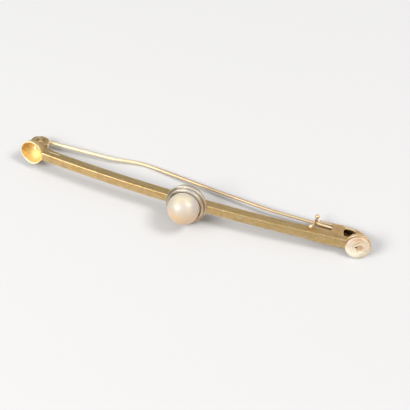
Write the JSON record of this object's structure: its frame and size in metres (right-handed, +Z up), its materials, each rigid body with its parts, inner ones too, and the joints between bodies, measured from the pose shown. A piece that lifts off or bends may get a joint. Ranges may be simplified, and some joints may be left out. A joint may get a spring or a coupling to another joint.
{
  "type": "brooch",
  "caption": "Arched gold bar brooch lying on its lower edge, with a pearl in a stepped white bezel, a small pearl cup at each end, a hinged pin and a turning safety catch.",
  "frame": {"origin": "under the middle of the brooch's box, on the surface it lies on", "axes": "+X along the bar, from the hinge end to the catch end; +Y away from the side that the pearls face; +Z up from the surface. The front faces -Y and is raised about 24 degrees, as the brooch lies."},
  "size_m": [0.0656, 0.0122, 0.0071],
  "materials": {
    "gold": "brushed and worn yellow gold",
    "bright_gold": "polished yellow gold",
    "white_metal": "polished white gold or platinum",
    "pearl": "lustrous cream pearl",
    "worn_pearl": "worn and chipped cream pearl"
  },
  "bodies": {
    "frame": {"bar_frame": "gold", "bezel": "white_metal", "centre_pearl": "pearl", "end_pearl": "worn_pearl", "hinge_rivet": "bright_gold"},
    "pin": {"pin_stem": "bright_gold"},
    "safety": {"safety_catch": "bright_gold"}
  },
  "joints": [
    {"name": "pin_swing", "type": "hinge", "parent": "frame", "child": "pin", "pos_m": [-0.03038, 0.0032, 0.00177], "axis": [0.0134, 0.411, 0.9116], "range_deg": [0, 75]},
    {"name": "safety_turn", "type": "hinge", "parent": "frame", "child": "safety", "pos_m": [0.02237, 0.00298, 0.0011], "axis": [-0.9999, 0, 0.0147], "range_deg": [0, 90]}
  ]
}
